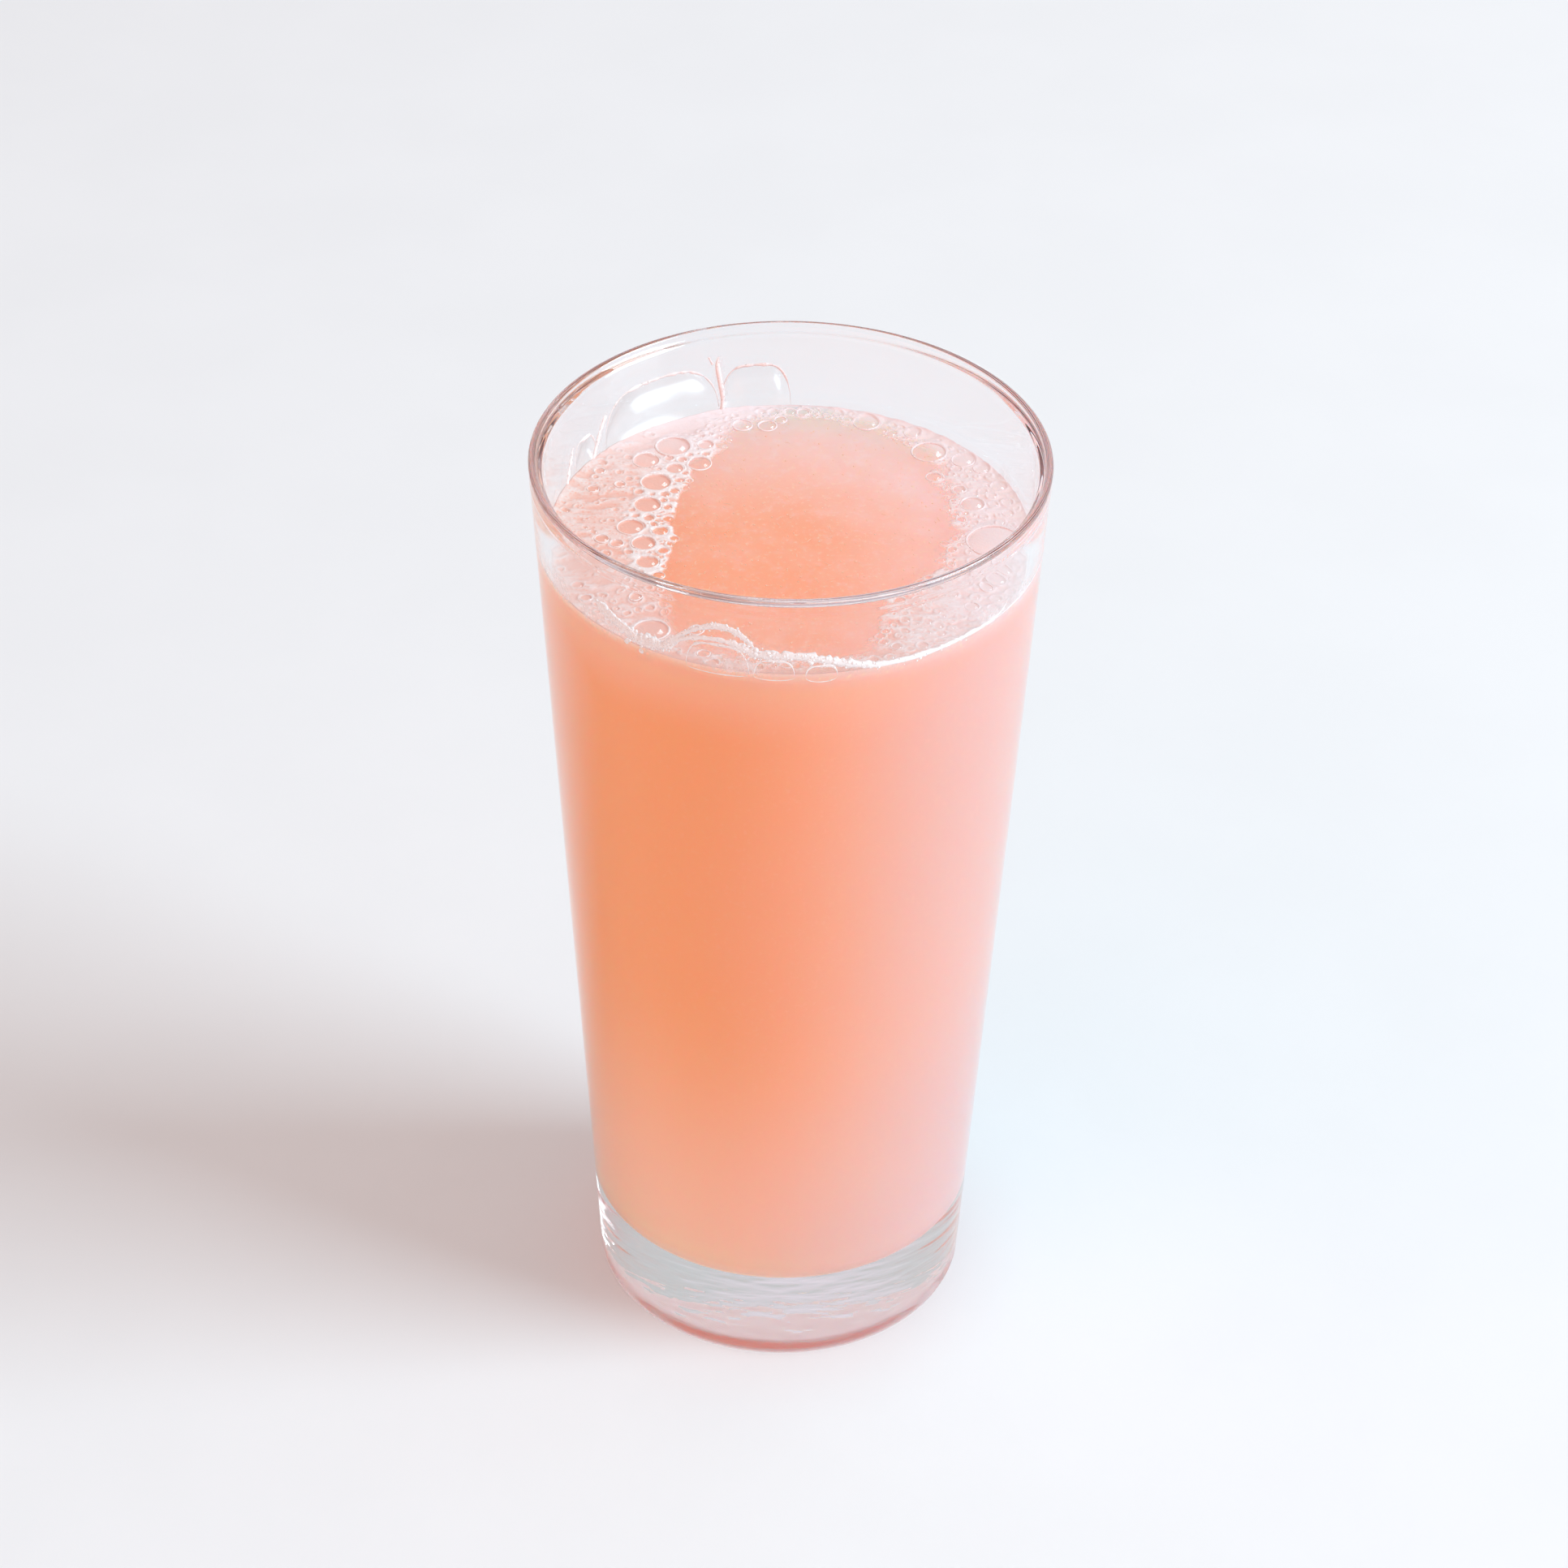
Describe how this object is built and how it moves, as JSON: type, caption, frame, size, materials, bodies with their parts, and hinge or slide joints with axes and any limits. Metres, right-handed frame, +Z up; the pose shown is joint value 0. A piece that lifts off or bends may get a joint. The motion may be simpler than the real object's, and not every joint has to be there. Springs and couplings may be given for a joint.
{
  "type": "glass of pink lemonade",
  "caption": "Tall conical tumbler filled with cloudy pink lemonade, a ring of froth round its wall; stands on a table to be drunk or served.",
  "frame": {"origin": "middle of the glass's foot, on the surface it stands on", "axes": "+Z up along the glass's axis, -Y towards the picture's camera, +X to the picture's right"},
  "size_m": [0.0758, 0.0758, 0.15],
  "materials": {
    "clear_glass": "polished clear glass",
    "lemonade": "cloudy liquid, glossy surface",
    "froth": "pale wet froth and clear bubble film"
  },
  "bodies": {
    "root": {"glass": "clear_glass", "drink": "lemonade", "froth": "froth"}
  },
  "joints": []
}
